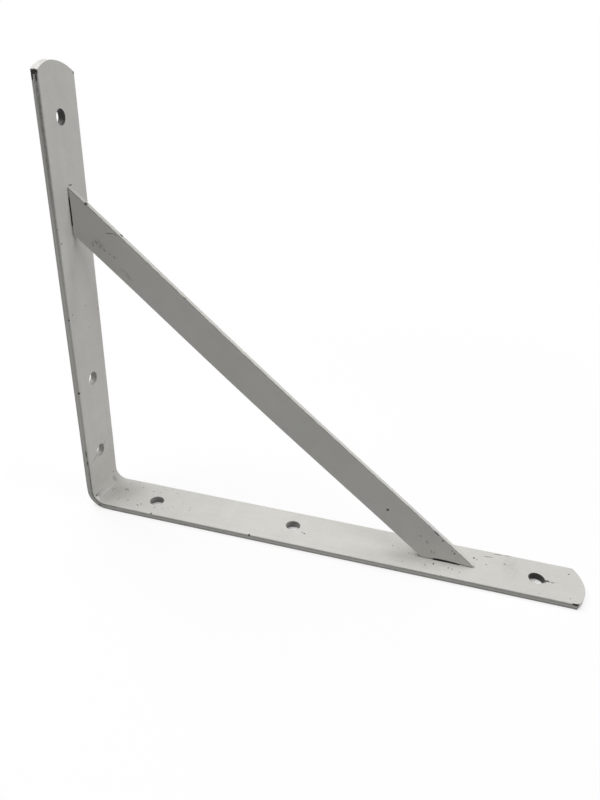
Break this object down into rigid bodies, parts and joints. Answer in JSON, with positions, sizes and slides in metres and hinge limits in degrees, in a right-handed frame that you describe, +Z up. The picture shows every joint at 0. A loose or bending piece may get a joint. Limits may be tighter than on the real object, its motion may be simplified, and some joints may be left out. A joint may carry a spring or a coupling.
{
  "type": "shelf bracket",
  "caption": "Right-angle bracket bent from flat bar, with round fixing holes in both legs and a diagonal brace welded on edge between them.",
  "frame": {"origin": "under the middle of the bracket's length, at the underside of the level leg and the middle of its width", "axes": "+X out from the wall along the level leg, +Y across the bar, +Z up the upright leg"},
  "size_m": [0.3, 0.03, 0.25],
  "materials": {
    "leg_paint": "satin off-white paint, worn at the corners",
    "brace_paint": "satin off-white paint, chipped along the edges",
    "weld_paint": "painted weld metal, dull"
  },
  "bodies": {
    "root": {"angle_bar": "leg_paint", "diagonal_brace": "brace_paint", "upper_welds": "weld_paint", "lower_welds": "weld_paint"}
  },
  "joints": []
}
